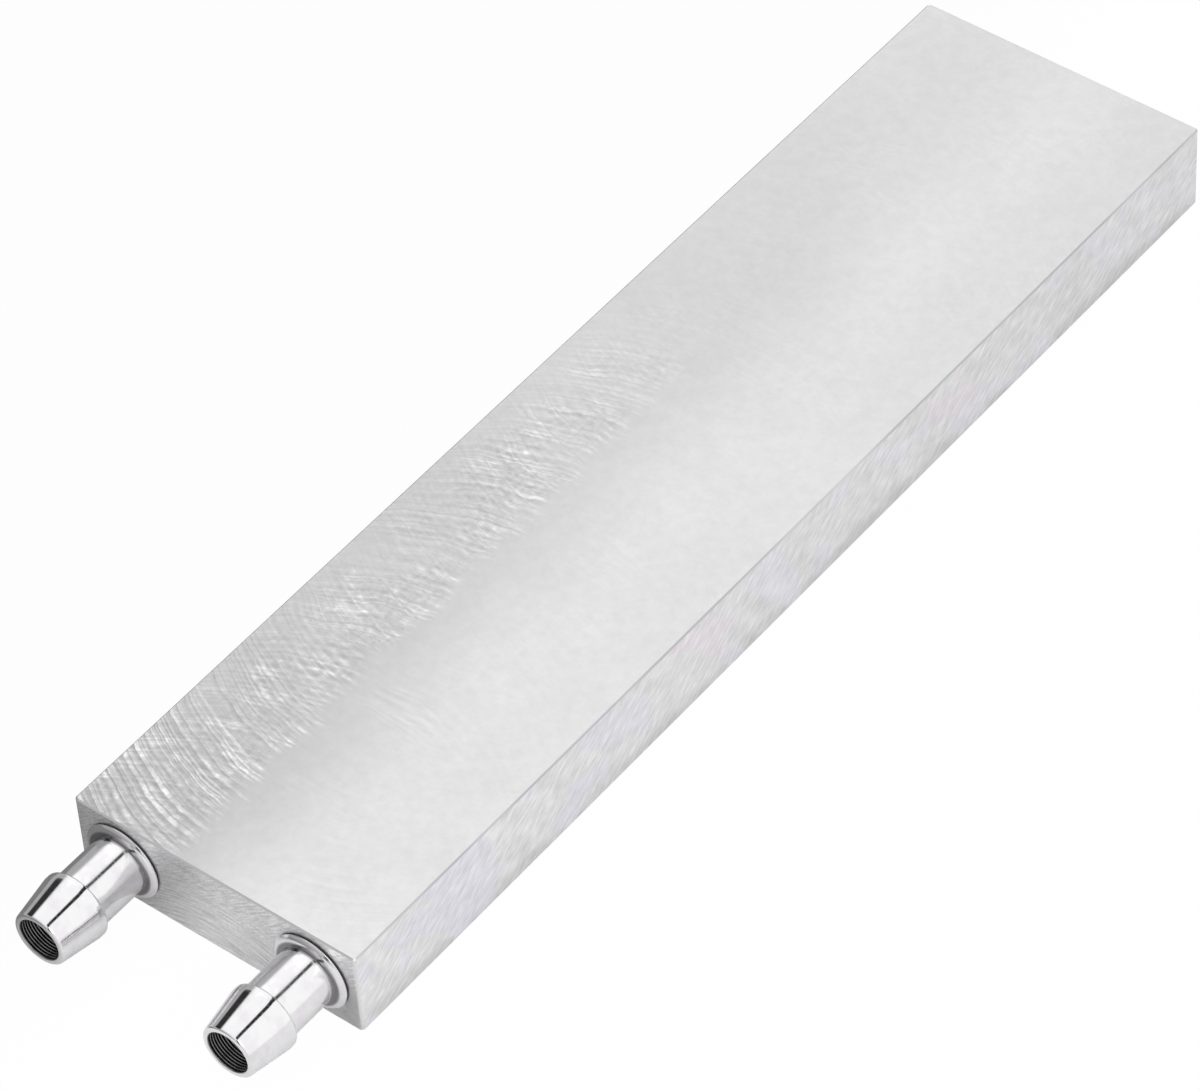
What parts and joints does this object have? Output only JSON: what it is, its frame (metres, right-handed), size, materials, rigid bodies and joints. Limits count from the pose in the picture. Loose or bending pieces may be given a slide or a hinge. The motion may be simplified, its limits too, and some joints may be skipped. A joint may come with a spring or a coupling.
{
  "type": "liquid cooling cold plate",
  "caption": "Flat ribbed aluminium cold plate with paired coolant chambers inside and hose barbs side by side at one end.",
  "frame": {"origin": "middle of the plate's underside", "axes": "+Y along the plate, from the port end to the return end; +Z out of the top face; +X to the right when looking at the plate from the port end"},
  "size_m": [0.04, 0.1742, 0.012],
  "materials": {
    "plate_aluminium": "milled, satin",
    "plug_aluminium": "milled, satin",
    "barb_metal": "turned, bright",
    "gasket_rubber": "matt black"
  },
  "bodies": {
    "root": {"channel_body": "plate_aluminium", "port_end_plug": "plug_aluminium", "return_end_plug": "plug_aluminium", "left_barb": "barb_metal", "right_barb": "barb_metal", "left_port_gasket": "gasket_rubber", "right_port_gasket": "gasket_rubber"}
  },
  "joints": []
}
